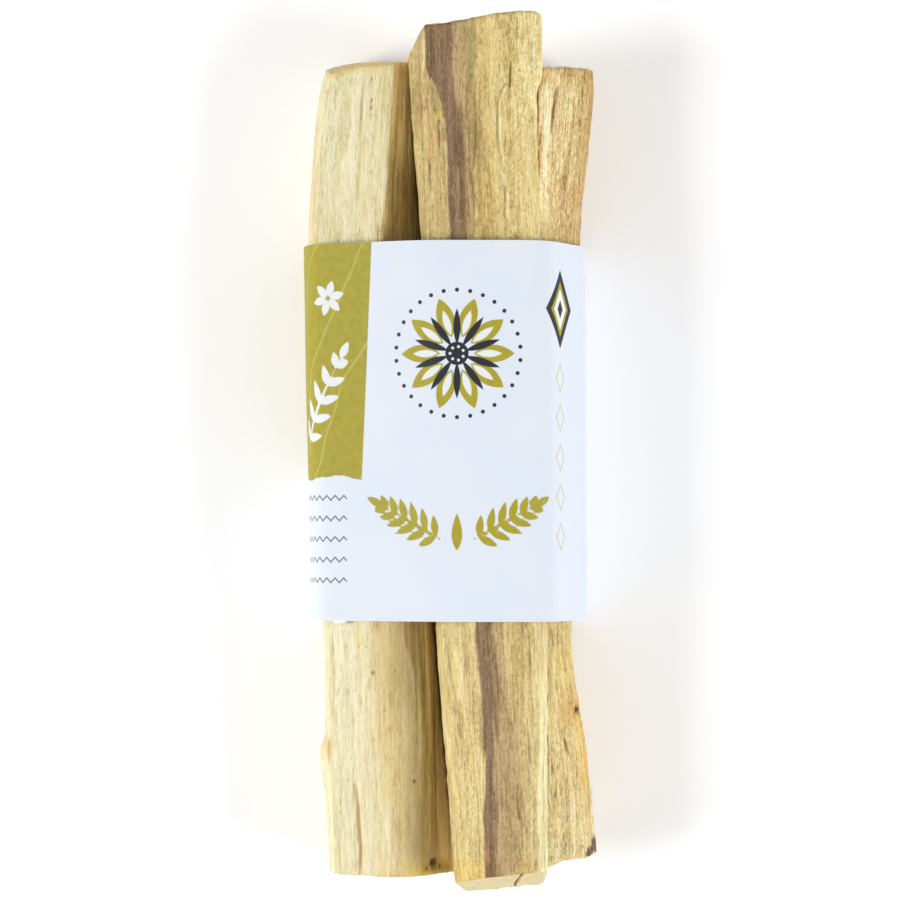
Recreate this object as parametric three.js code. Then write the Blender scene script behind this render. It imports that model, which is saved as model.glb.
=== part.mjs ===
// Three split palo santo sticks held together by a wrapped paper band. The bundle lies on the
// band's lap: two sticks side by side below, and a third on top in the groove between them.
// Millimetres, +Z up, +Y along the sticks. The origin is on the surface that the bundle lies
// on, under the middle of its bounding box.
import * as THREE from "three";

// Driving dimensions.
const BUNDLE_WIDTH = 35;
const BUNDLE_HEIGHT = 19.4;
const STICK_TOP = 18.8;
const STICK_BOTTOM = 0.9;
const BAND_LENGTH = 44;
const BAND_LOWER = -19.7;
const PAPER = 0.3;
const LAP = { from: -4, to: 4.5, run_out: 7, glue: 0.03 };

// How finely the faceted solids follow their form.
const STICK_RINGS = 30;
const SIDE_STEP = 1.7;
const FEWEST_PER_SIDE = 3;
const PAPER_STEP = 3.5;
const ARC_STEPS = 6;
const PAPER_ROWS = 4;

// A split stick is described by its long edges, in order round it: clockwise, seen from the
// lower end. Each edge is a few [x, y, z] points from the lower end to the upper end. The
// waves are the shallow flutes that splitting leaves: how high and how wide they are, and by
// how much of a wave they drift over 100 mm of length.
const STICK_LEFT = {
  name: "stick_left",
  colour: 0xe9dbab,
  edges: {
    ridge: [[-7.0, -49.5, 15.1], [-6.9, -20, 15.7], [-7.9, 24.8, 15.9], [-6.6, 44.8, 15.5]],
    right_shoulder: [[-3.0, -49.6, 12.1], [-3.2, -20, 12.4], [-6.2, 24.8, 13.4], [-5.6, 45.2, 13.4]],
    right_hip: [[1.6, -49.5, 5.6], [0.4, -20, 5.6], [-0.7, 24.8, 5.7], [-1.9, 46.4, 6.0]],
    lower_right: [
      [0.9, -49.4, 1.3],
      [-0.6, -20, STICK_BOTTOM],
      [-1.6, 24.8, STICK_BOTTOM],
      [-2.7, 46.8, 1.3],
    ],
    lower_left: [[-11.7, -49.3, 1.5], [-12.5, -20, 1.2], [-13.9, 24.8, 1.2], [-12.4, 46.8, 1.5]],
    left_side: [
      [-14.2, -49.4, 7.6],
      [-14.9, -40, 8.2],
      [-15.5, -35, 8.6],
      [-14.8, -33, 8.4],
      [-15.1, -20, 8.0],
      [-16.8, 25, 8.2],
      [-15.7, 41.5, 8.2],
      [-14.8, 45.9, 8.2],
    ],
    left_shoulder: [
      [-13.4, -49.3, 12.1],
      [-14.3, -20, 12.5],
      [-15.8, 25, 12.7],
      [-14.9, 41, 12.4],
      [-14.1, 44.7, 12.0],
    ],
  },
  waves: [
    { height: 0.16, width: 4.4, drift: 0.5, phase: 0.4 },
    { height: 0.1, width: 2.9, drift: -0.7, phase: 2.1 },
  ],
};
const STICK_FRONT = {
  name: "stick_front",
  colour: 0xd9c188,
  edges: {
    heartwood_ridge: [
      [4.3, -49.2, STICK_TOP],
      [4.1, -35, STICK_TOP],
      [3.0, -20, 18.7],
      [-0.1, 24.3, 18.4],
      [-0.9, 38, 18.3],
      [-1.2, 49.3, 18.2],
    ],
    right_edge: [
      [10.4, -48.6, 18.4],
      [10.4, -20, 18.3],
      [10.1, 24.3, 18.1],
      [9.95, 41.5, 18.0],
      [10.5, 43.8, 17.9],
      [10.6, 50.7, 17.8],
    ],
    right_bevel: [
      [11.3, -48.8, 16.8],
      [11.2, -20, 16.7],
      [10.3, 24.3, 16.2],
      [10.2, 41.5, 16.0],
      [10.7, 43.8, 16.0],
      [10.8, 50.2, 15.9],
    ],
    lower_right: [[10.9, -50.6, 11.1], [10.7, -20, 11.2], [9.6, 24.3, 11.2], [9.5, 49.0, 11.4]],
    lower_left: [[1.9, -51.7, 9.3], [-0.8, -20, 9.2], [-2.4, 24.3, 9.4], [-2.7, 47.4, 9.8]],
    left_side: [
      [0.8, -50.3, 13.2],
      [-1.6, -20.2, 13.5],
      [-3.4, 24.6, 15.1],
      [-4.2, 34, 15.0],
      [-5.1, 45.4, 14.6],
    ],
    left_bevel: [
      [1.4, -50.0, 15.0],
      [-1.2, -20.2, 15.3],
      [-2.6, 24.3, 17.9],
      [-2.8, 38, 18.0],
      [-2.9, 49.1, 17.9],
    ],
  },
  waves: [
    { height: 0.14, width: 3.8, drift: 0.6, phase: 1.7 },
    { height: 0.09, width: 2.7, drift: -0.4, phase: 0.3 },
  ],
};
const STICK_RIGHT = {
  name: "stick_right",
  colour: 0xdcc083,
  edges: {
    ridge: [
      [11.7, -48.3, 15.7],
      [11.55, -20, 15.6],
      [10.7, 24.3, 15.6],
      [10.7, 41.5, 15.7],
      [11.2, 43.8, 15.7],
      [11.25, 44.7, 15.7],
    ],
    right_shoulder: [
      [16.1, -47.4, 11.8],
      [14.9, -35.5, 11.7],
      [13.3, -21, 11.2],
      [14.3, 24.3, 11.2],
      [15.9, 42, 11.9],
      [16.1, 44.8, 11.9],
    ],
    right_side: [
      [17.4, -46.9, 7.8],
      [16.2, -35.5, 8.0],
      [14.5, -22, 8.0],
      [15.5, 24.6, 7.8],
      [17.1, 42, 8.0],
      [17.0, 45.1, 8.0],
    ],
    lower_right: [
      [15.6, -46.9, 1.5],
      [14.4, -35, 1.3],
      [12.8, -20, 1.2],
      [13.6, 24.3, 1.2],
      [14.9, 46.2, 1.5],
    ],
    lower_left: [
      [4.0, -48.8, 1.3],
      [2.8, -20, STICK_BOTTOM],
      [2.2, 24.3, STICK_BOTTOM],
      [2.6, 46.4, 1.3],
    ],
    left_hip: [[3.0, -48.9, 5.0], [2.2, -20, 5.0], [1.6, 24.3, 5.1], [1.8, 46.0, 5.4]],
    left_shoulder: [[4.0, -49.0, 8.8], [3.2, -20, 8.8], [2.8, 24.3, 9.2], [3.0, 45.4, 9.6]],
    left_rise: [[10.7, -48.6, 10.2], [10.4, -20, 10.1], [9.4, 24.3, 10.2], [9.4, 45.0, 10.4]],
    wall_foot: [[11.8, -48.5, 10.8], [11.55, -20, 10.8], [10.5, 24.3, 10.8], [10.7, 44.8, 11.0]],
  },
  waves: [
    { height: 0.15, width: 3.4, drift: 0.8, phase: 3.0 },
    { height: 0.1, width: 2.3, drift: -0.9, phase: 1.1 },
  ],
};

// The corners that the band is pulled round, as [x, z] of its outside at the upper and at the
// lower rim, with the radius that the paper turns with. In order round it from the underside:
// up the right side, over the top and down the left side.
const BAND_CORNERS = [
  { upper: [15.4, 0], lower: [15.6, 0], radius: 3.4 },
  { upper: [16.2, 9.2], lower: [16.3, 9.2], radius: 6 },
  { upper: [11.0, 19.3], lower: [11.4, 19.3], radius: 3 },
  { upper: [-2.8, BUNDLE_HEIGHT], lower: [0.6, BUNDLE_HEIGHT], radius: 11 },
  { upper: [-16.4, 13.6], lower: [-15.5, 13.2], radius: 4 },
  { upper: [-BUNDLE_WIDTH / 2, 8.4], lower: [-16.6, 8.4], radius: 8 },
  { upper: [-15.6, 0], lower: [-14.9, 0], radius: 3.6 },
];

// The point of an edge at a height y, on a smooth curve through its points. Each span is a
// cubic that takes its end slopes from the neighbouring points.
function edgeAt(edge, y) {
  const last = edge.length - 1;
  const slope = (i, axis) => {
    const before = edge[Math.max(i - 1, 0)];
    const after = edge[Math.min(i + 1, last)];
    return (after[axis] - before[axis]) / (after[1] - before[1]);
  };
  let i = 0;
  while (i < last - 1 && y > edge[i + 1][1]) i += 1;
  const span = edge[i + 1][1] - edge[i][1];
  const t = (y - edge[i][1]) / span;
  const at = (axis) =>
    (2 * t ** 3 - 3 * t ** 2 + 1) * edge[i][axis] +
    (3 * t ** 2 - 2 * t ** 3) * edge[i + 1][axis] +
    (t ** 3 - 2 * t ** 2 + t) * span * slope(i, axis) +
    (t ** 3 - t ** 2) * span * slope(i + 1, axis);
  return new THREE.Vector3(at(0), y, at(2));
}

// The stick's corners on one ring, at a share of the way from its lower end to its upper end.
function cornersAt(form, share) {
  return Object.values(form.edges).map((edge) =>
    edgeAt(edge, THREE.MathUtils.lerp(edge[0][1], edge[edge.length - 1][1], share)),
  );
}

// How many points each side of a stick gets, from the side's width half way up.
function pointsPerSide(form) {
  const corners = cornersAt(form, 0.5);
  return corners.map((corner, k) => {
    const width = corner.distanceTo(corners[(k + 1) % corners.length]);
    return Math.max(FEWEST_PER_SIDE, Math.round(width / SIDE_STEP));
  });
}

// How far the flutes raise the wood, u millimetres round the stick at the height y.
function relief(waves, u, y) {
  return waves.reduce((sum, wave) => {
    const turns = u / wave.width + (wave.drift * y) / 100;
    return sum + wave.height * Math.sin(2 * Math.PI * turns + wave.phase);
  }, 0);
}

// One ring round a stick. Points crowd towards the corners and miss them by a little, which
// takes off the sharp arris, and the flutes fade out there.
function stickRing(form, counts, share) {
  const corners = cornersAt(form, share);
  const ring = [];
  let travelled = 0;
  corners.forEach((corner, k) => {
    const side = corners[(k + 1) % corners.length].clone().sub(corner);
    const out = new THREE.Vector3(-side.z, 0, side.x).normalize();
    for (let j = 0; j < counts[k]; j += 1) {
      const across = 0.5 - 0.5 * Math.cos((Math.PI * (j + 0.5)) / counts[k]);
      const point = corner.clone().addScaledVector(side, across);
      const raised = relief(form.waves, travelled + across * side.length(), point.y);
      ring.push(point.addScaledVector(out, raised * Math.sin(Math.PI * across)));
    }
    travelled += side.length();
  });
  return ring;
}

// A closed body through a row of rings, with a fan from the middle of the first and the last.
function loft(name, rings, finish) {
  const around = rings[0].length;
  const points = rings.flat();
  const faces = [];
  for (let r = 0; r < rings.length - 1; r += 1) {
    for (let i = 0; i < around; i += 1) {
      const a = r * around + i;
      const b = r * around + ((i + 1) % around);
      faces.push(a, b, b + around, a, b + around, a + around);
    }
  }
  const middleOf = (ring) =>
    ring.reduce((sum, point) => sum.add(point), new THREE.Vector3()).divideScalar(around);
  const firstMiddle = points.push(middleOf(rings[0])) - 1;
  const lastMiddle = points.push(middleOf(rings[rings.length - 1])) - 1;
  const lastStart = (rings.length - 1) * around;
  for (let i = 0; i < around; i += 1) {
    const next = (i + 1) % around;
    faces.push(firstMiddle, next, i);
    faces.push(lastMiddle, lastStart + i, lastStart + next);
  }
  const geometry = new THREE.BufferGeometry().setFromPoints(points);
  geometry.setIndex(faces);
  geometry.computeVertexNormals();
  const mesh = new THREE.Mesh(geometry, new THREE.MeshStandardMaterial(finish));
  mesh.name = name;
  return mesh;
}

function stick(form) {
  const counts = pointsPerSide(form);
  const rings = [];
  for (let r = 0; r <= STICK_RINGS; r += 1) {
    rings.push(stickRing(form, counts, r / STICK_RINGS));
  }
  return loft(form.name, rings, { color: form.colour, roughness: 0.8, metalness: 0 });
}

// The arc that the paper makes at one corner of its belt, as points of its outside.
function cornerArc(before, corner, after, radius) {
  const back = before.clone().sub(corner).normalize();
  const ahead = after.clone().sub(corner).normalize();
  const turn = Math.PI - Math.acos(back.dot(ahead));
  const start = corner.clone().addScaledVector(back, radius * Math.tan(turn / 2));
  const inward = back.clone().add(ahead).normalize();
  const centre = corner.clone().addScaledVector(inward, radius / Math.cos(turn / 2));
  const arc = [];
  for (let j = 0; j <= ARC_STEPS; j += 1) {
    arc.push(start.clone().rotateAround(centre, (turn * j) / ARC_STEPS));
  }
  return arc;
}

// The outside of the strip at one rim, from its inner end on the underside, once round, to its
// outer end, which laps over the inner one.
function stripOutside(rim) {
  const corners = BAND_CORNERS.map((corner) => new THREE.Vector2(...corner[rim]));
  const lift = PAPER + LAP.glue;
  const path = [
    new THREE.Vector2(LAP.from, lift),
    new THREE.Vector2(LAP.to, lift),
    new THREE.Vector2(LAP.to + LAP.run_out, 0),
  ];
  corners.forEach((corner, k) => {
    const before = corners[(k + corners.length - 1) % corners.length];
    const after = corners[(k + 1) % corners.length];
    path.push(...cornerArc(before, corner, after, BAND_CORNERS[k].radius));
  });
  path.push(new THREE.Vector2(LAP.from, 0));
  path.push(new THREE.Vector2(LAP.to, 0));
  return path;
}

// The path with each of its spans cut into the given number of pieces.
function inPieces(path, pieces) {
  const fine = [path[0]];
  pieces.forEach((count, i) => {
    for (let j = 1; j <= count; j += 1) fine.push(path[i].clone().lerp(path[i + 1], j / count));
  });
  return fine;
}

// The inside of the strip: each point of the outside moved in by the paper's thickness.
function stripInside(outside) {
  return outside.map((point, i) => {
    const before = outside[Math.max(i - 1, 0)];
    const after = outside[Math.min(i + 1, outside.length - 1)];
    const along = after.clone().sub(before).normalize();
    return new THREE.Vector2(point.x - PAPER * along.y, point.y + PAPER * along.x);
  });
}

// The paper is straight from rim to rim. Each ring goes up its outside from the lower rim to
// the upper one, and back down its inside.
function paperBand() {
  const rims = [stripOutside("lower"), stripOutside("upper")];
  const pieces = rims[0].slice(1).map((point, i) => {
    return Math.ceil(point.distanceTo(rims[0][i]) / PAPER_STEP);
  });
  const [lower, upper] = rims.map((path) => inPieces(path, pieces));
  const rows = [];
  for (let r = 0; r <= PAPER_ROWS; r += 1) {
    const share = r / PAPER_ROWS;
    const place = (point) => new THREE.Vector3(point.x, BAND_LOWER + share * BAND_LENGTH, point.y);
    const outside = lower.map((point, i) => point.clone().lerp(upper[i], share));
    rows.push({ outside: outside.map(place), inside: stripInside(outside).map(place) });
  }
  const backwards = rows.slice().reverse();
  const rings = lower.map((point, i) => [
    ...rows.map((row) => row.outside[i]),
    ...backwards.map((row) => row.inside[i]),
  ]);
  return loft("paper_band", rings, { color: 0xe8eef8, roughness: 0.55, metalness: 0 });
}

const bundle = new THREE.Group();
bundle.name = "palo_santo_bundle";
bundle.add(stick(STICK_LEFT), stick(STICK_FRONT), stick(STICK_RIGHT), paperBand());

// The lowest face is already at z = 0. The bundle is centred over the origin.
const middle = new THREE.Box3().setFromObject(bundle, true).getCenter(new THREE.Vector3());
bundle.position.set(-middle.x, -middle.y, 0);

export default bundle;
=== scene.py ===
"""A banded bundle of split palo santo sticks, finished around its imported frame.

Each stick is a surface of two parameters: the place around the stick and the place along
it. The paper band is a strip of two parameters: the way along the strip and the way across
it. Lengths are in millimetres here, and become metres when a mesh is made.
"""

import math

import bpy
import numpy as np
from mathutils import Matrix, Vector


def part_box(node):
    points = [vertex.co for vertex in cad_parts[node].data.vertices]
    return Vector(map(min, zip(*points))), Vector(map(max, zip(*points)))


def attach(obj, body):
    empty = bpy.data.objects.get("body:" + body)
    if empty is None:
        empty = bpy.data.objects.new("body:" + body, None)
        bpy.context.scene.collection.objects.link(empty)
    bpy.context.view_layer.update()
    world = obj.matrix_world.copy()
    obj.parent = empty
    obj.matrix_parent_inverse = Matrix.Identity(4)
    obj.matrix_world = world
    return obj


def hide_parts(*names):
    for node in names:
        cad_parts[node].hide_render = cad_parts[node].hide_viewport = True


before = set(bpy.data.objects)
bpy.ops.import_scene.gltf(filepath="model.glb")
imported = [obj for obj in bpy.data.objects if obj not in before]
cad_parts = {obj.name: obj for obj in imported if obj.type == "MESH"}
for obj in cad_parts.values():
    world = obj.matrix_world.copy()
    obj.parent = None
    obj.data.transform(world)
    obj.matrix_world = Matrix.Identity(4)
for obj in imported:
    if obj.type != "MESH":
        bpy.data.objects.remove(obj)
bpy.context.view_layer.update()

MM = 0.001

# Driving dimensions of the sticks and the band, the same as in the frame's solids.
BUNDLE_WIDTH = 35.0
BUNDLE_HEIGHT = 19.4
STICK_TOP = 18.8
STICK_BOTTOM = 0.9
BAND_LENGTH = 44.0
BAND_LOWER = -19.7
PAPER = 0.3
LAP_FROM, LAP_TO, LAP_RUN_OUT, LAP_GLUE = -4.0, 4.5, 7.0, 0.03

# How finely the surfaces are worked out. The rings of a sawn end shrink by these shares.
COLUMN_STEP = 0.14
STICK_ROWS = 232
BAND_ROWS = 138
CAP_SHARES = (0.994, 0.98, 0.96, 0.93, 0.89, 0.83, 0.75, 0.66, 0.56, 0.45, 0.34, 0.23, 0.12)
CRACKED_SHARES = tuple(1.0 - 0.006 - 0.022 * step for step in range(32)) + (0.24, 0.16, 0.08)

# The sawn ends: how far their edges are rounded, how far apart the saw left its marks and
# which way they run, lower and upper end, and the crack in the front stick's lower end.
ARRIS = 0.13
SAW_PITCH = 0.55
SAW_TURNS = 0.4, 1.1
CRACK_WIDTH, CRACK_DEPTH = 0.16, 0.25

# A Gaussian's width at half its height, in standard deviations.
HALF_HEIGHT_WIDTH = 2.36

# How bright the studio lights a white surface that faces up, where 1 is white on the display.
LIGHT_LEVEL = 1.29

# The studio, in metres and watts: the soft lights' width, and each one's place and power.
LIGHT_WIDTH = 0.35
LEFT_LIGHT = (-0.6, -0.08, 0.42), 4.85
RIGHT_LIGHT = (0.62, -0.16, 0.36), 4.6
SURROUNDINGS = 0.425

# The camera, in its image's pixels and in millimetres.
IMAGE_WIDTH = 900.0
FOCAL_PIXELS = 3478.0
SENSOR_WIDTH = 36.0
CAMERA_PLACE = (0.0, -10.5, 419.5)
CAMERA_TARGET = (0.0, 0.077, 19.0)

# The print on the band. Places are the way along the sheet, to the right, and the height
# above the lower rim. The rosette and the garland share a middle line, and so do the chain
# of lozenges and the dark lozenge above it. The panel's foot is ragged.
PRINT_MIDDLE = 0.8
ROSETTE_HEIGHT = 30.9
GARLAND_HEIGHT = 9.2
CHAIN_MIDDLE = 14.2
DARK_LOZENGE_HEIGHT = 36.2
FLOWER_PLACE = (-15.2, 37.6)
SPRIG_FOOT, SPRIG_TIP = (-19.6, 19.4), (-13.6, 30.6)
PANEL_FOOT = 16.7

# The long edges of each stick, in order round it, clockwise seen from the lower end. Each is
# a few [x, y, z] points from the lower end to the upper end.
LEFT_EDGES = {
    "ridge": [[-7.0, -49.5, 15.1], [-6.9, -20, 15.7], [-7.9, 24.8, 15.9], [-6.6, 44.8, 15.5]],
    "right_shoulder": [[-3.0, -49.6, 12.1], [-3.2, -20, 12.4], [-6.2, 24.8, 13.4], [-5.6, 45.2, 13.4]],
    "right_hip": [[1.6, -49.5, 5.6], [0.4, -20, 5.6], [-0.7, 24.8, 5.7], [-1.9, 46.4, 6.0]],
    "lower_right": [
        [0.9, -49.4, 1.3], [-0.6, -20, STICK_BOTTOM], [-1.6, 24.8, STICK_BOTTOM], [-2.7, 46.8, 1.3],
    ],
    "lower_left": [[-11.7, -49.3, 1.5], [-12.5, -20, 1.2], [-13.9, 24.8, 1.2], [-12.4, 46.8, 1.5]],
    "left_side": [
        [-14.2, -49.4, 7.6], [-14.9, -40, 8.2], [-15.5, -35, 8.6], [-14.8, -33, 8.4],
        [-15.1, -20, 8.0], [-16.8, 25, 8.2], [-15.7, 41.5, 8.2], [-14.8, 45.9, 8.2],
    ],
    "left_shoulder": [
        [-13.4, -49.3, 12.1], [-14.3, -20, 12.5], [-15.8, 25, 12.7], [-14.9, 41, 12.4], [-14.1, 44.7, 12.0],
    ],
}
FRONT_EDGES = {
    "heartwood_ridge": [
        [4.3, -49.2, STICK_TOP], [4.1, -35, STICK_TOP], [3.0, -20, 18.7],
        [-0.1, 24.3, 18.4], [-0.9, 38, 18.3], [-1.2, 49.3, 18.2],
    ],
    "right_edge": [
        [10.4, -48.6, 18.4], [10.4, -20, 18.3], [10.1, 24.3, 18.1],
        [9.95, 41.5, 18.0], [10.5, 43.6, 17.9], [10.6, 50.7, 17.8],
    ],
    "right_bevel": [
        [11.3, -48.8, 16.8], [11.2, -20, 16.7], [10.3, 24.3, 16.2],
        [10.2, 41.5, 16.0], [10.7, 43.6, 16.0], [10.8, 50.2, 15.9],
    ],
    "lower_right": [[10.9, -50.6, 11.1], [10.7, -20, 11.2], [9.6, 24.3, 11.2], [9.5, 49.0, 11.4]],
    "lower_left": [[1.9, -51.7, 9.3], [-0.8, -20, 9.2], [-2.4, 24.3, 9.4], [-2.7, 47.4, 9.8]],
    "left_side": [
        [0.6, -50.3, 13.2], [0.0, -43, 13.3], [-1.6, -20.2, 13.5],
        [-3.4, 24.6, 15.1], [-4.2, 34, 15.0], [-5.1, 45.4, 14.6],
    ],
    "left_bevel": [
        [1.4, -50.0, 15.0], [-1.2, -20.2, 15.3], [-2.6, 24.3, 17.9], [-2.8, 38, 18.0], [-2.9, 49.1, 17.9],
    ],
}
RIGHT_EDGES = {
    "ridge": [
        [11.25, -48.3, 16.1], [11.1, -20, 16.0], [10.15, 24.3, 15.7],
        [10.1, 41.5, 15.7], [10.65, 43.6, 15.9], [10.8, 44.7, 15.9],
    ],
    "right_shoulder": [
        [16.1, -47.4, 11.8], [14.9, -35.5, 11.7], [13.3, -21, 11.2],
        [14.3, 24.3, 11.2], [15.9, 42, 11.9], [16.1, 44.8, 11.9],
    ],
    "right_side": [
        [17.4, -46.9, 7.8], [16.2, -35.5, 8.0], [14.5, -22, 8.0],
        [15.5, 24.6, 7.8], [17.1, 42, 8.0], [17.0, 45.1, 8.0],
    ],
    "lower_right": [
        [15.6, -46.9, 1.5], [14.4, -35, 1.3], [12.8, -20, 1.2], [13.6, 24.3, 1.2], [14.9, 46.2, 1.5],
    ],
    "lower_left": [
        [4.0, -48.8, 1.3], [2.8, -20, STICK_BOTTOM], [2.2, 24.3, STICK_BOTTOM], [2.6, 46.4, 1.3],
    ],
    "left_hip": [[3.0, -48.9, 5.0], [2.2, -20, 5.0], [1.6, 24.3, 5.1], [1.8, 46.0, 5.4]],
    "left_shoulder": [[4.0, -49.0, 8.8], [3.2, -20, 8.8], [2.8, 24.3, 9.2], [3.0, 45.4, 9.6]],
    "left_rise": [[10.7, -48.6, 10.2], [10.4, -20, 10.1], [9.4, 24.3, 10.2], [9.4, 45.0, 10.4]],
    "wall_foot": [[11.7, -48.5, 10.8], [11.45, -20, 10.8], [10.4, 24.3, 10.8], [10.6, 44.8, 11.0]],
}

# The flutes of the split sides: height, width, drift in waves over 100 mm of length, phase.
LEFT_WAVES = [(0.08, 4.4, 0.5, 0.4), (0.05, 2.9, -0.7, 2.1)]
FRONT_WAVES = [(0.14, 3.8, 0.6, 1.7), (0.09, 2.7, -0.4, 0.3)]
RIGHT_WAVES = [(0.12, 3.4, 0.8, 3.0), (0.08, 2.3, -0.9, 1.1)]

# The corners that the band is pulled round: [x, z] of its outside at the upper and the lower
# rim, and the radius that the paper turns with, from the underside up the right side. The
# last two numbers are how many steps the span before the corner and its arc are cut into.
BAND_CORNERS = [
    ([15.4, 0.0], [15.6, 0.0], 3.4, 2, 12),
    ([16.2, 9.2], [16.3, 9.2], 6.0, 8, 14),
    ([11.0, 19.3], [11.4, 19.3], 5.0, 34, 26),
    ([-2.8, BUNDLE_HEIGHT], [0.6, BUNDLE_HEIGHT], 11.0, 45, 22),
    ([-16.4, 13.6], [-15.5, 13.2], 4.0, 50, 20),
    ([-BUNDLE_WIDTH / 2, 8.4], [-16.6, 8.4], 8.0, 10, 14),
    ([-15.6, 0.0], [-14.9, 0.0], 3.6, 7, 12),
]


def rise(value, low, high):
    """0 up to low, 1 beyond high, and 3t^2 - 2t^3 of the share t between them. Where high is
    the lower of the two, it falls instead."""
    t = np.clip((value - low) / (high - low), 0.0, 1.0)
    return t * t * (3.0 - 2.0 * t)


def linear(red, green, blue):
    """A display colour, each channel 0 to 255, as linear light."""
    channels = np.array([red, green, blue]) / 255.0
    low = channels / 12.92
    high = ((channels + 0.055) / 1.055) ** 2.4
    return tuple(float(c) for c in np.where(channels <= 0.04045, low, high))


def paint(red, green, blue):
    """The paint that comes out as that display colour where the studio's light is full."""
    return tuple(c / LIGHT_LEVEL for c in linear(red, green, blue))


def edge_curve(edge, rows):
    """Points of a long edge at even heights. Between two listed points it is a cubic whose
    end slopes are those between the neighbouring points."""
    points = np.array(edge, float)
    index = np.arange(len(points))
    after = points[np.minimum(index + 1, len(points) - 1)]
    before = points[np.maximum(index - 1, 0)]
    slopes = (after - before) / (after[:, 1] - before[:, 1])[:, None]
    y = np.linspace(points[0, 1] + ARRIS, points[-1, 1] - ARRIS, rows)
    i = np.clip(np.searchsorted(points[:, 1], y) - 1, 0, len(points) - 2)
    span = (points[i + 1, 1] - points[i, 1])[:, None]
    t = (y[:, None] - points[i, 1][:, None]) / span
    curve = (
        (2 * t**3 - 3 * t**2 + 1) * points[i]
        + (3 * t**2 - 2 * t**3) * points[i + 1]
        + (t**3 - 2 * t**2 + t) * span * slopes[i]
        + (t**3 - t**2) * span * slopes[i + 1]
    )
    curve[:, 1] = y
    return curve


def blurred(field, spacing, widths):
    """A field of rows and columns, closed on itself both ways, blurred by a Gaussian of the
    given width along the rows' direction and across it. Each frequency f is weakened by
    exp(-2 (pi f s)^2), where s is the Gaussian's standard deviation."""
    rows, columns = field.shape[:2]
    fy = np.fft.fftfreq(rows, spacing[0])[:, None] * widths[0] / HALF_HEIGHT_WIDTH
    fu = np.fft.fftfreq(columns, spacing[1])[None, :] * widths[1] / HALF_HEIGHT_WIDTH
    weight = np.exp(-2.0 * math.pi**2 * (fy**2 + fu**2))
    return np.fft.ifft2(np.fft.fft2(field) * weight).real


class Grain:
    """Random fields on a stick's grid, long along the grain and narrow across it."""

    def __init__(self, seed, shape, spacing):
        self.random = np.random.default_rng(seed)
        self.shape = shape
        self.spacing = spacing

    def field(self, length, width):
        """White noise blurred to that length and width, with a spread of 1."""
        field = blurred(self.random.standard_normal(self.shape), self.spacing, (length, width))
        return field / field.std()

    def layers(self, length, width, sharpness):
        """Plateaus with steep edges between -1 and 1: the tanh of a blurred field."""
        return np.tanh(sharpness * self.field(length, width))


def round_off(points, step, radius):
    """Rounds the corners of every ring: its points blurred round the ring by a Gaussian,
    whose standard deviation is the radius."""
    spread = np.fft.fftfreq(points.shape[1], step)[None, :, None] * radius
    weight = np.exp(-2.0 * math.pi**2 * spread**2)
    return np.fft.ifft(np.fft.fft(points, axis=1) * weight, axis=1).real


def ring_normals(points):
    """The outward direction in the x-z plane at every point of every ring: the ring's own
    direction turned a quarter."""
    along = np.roll(points, -1, axis=1) - np.roll(points, 1, axis=1)
    out = np.stack([-along[..., 2], np.zeros(along.shape[:2]), along[..., 0]], axis=-1)
    return out / np.linalg.norm(out, axis=-1, keepdims=True)


def distance_to_path(x, y, path):
    """The distance in plan from each point to a broken line: the least of the distances to
    its straight parts."""
    nearest = np.full(x.shape, np.inf)
    for (ax, ay), (bx, by) in zip(path, path[1:]):
        dx, dy = bx - ax, by - ay
        t = np.clip(((x - ax) * dx + (y - ay) * dy) / (dx * dx + dy * dy), 0, 1)
        nearest = np.minimum(nearest, np.hypot(x - ax - t * dx, y - ay - t * dy))
    return nearest


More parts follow.
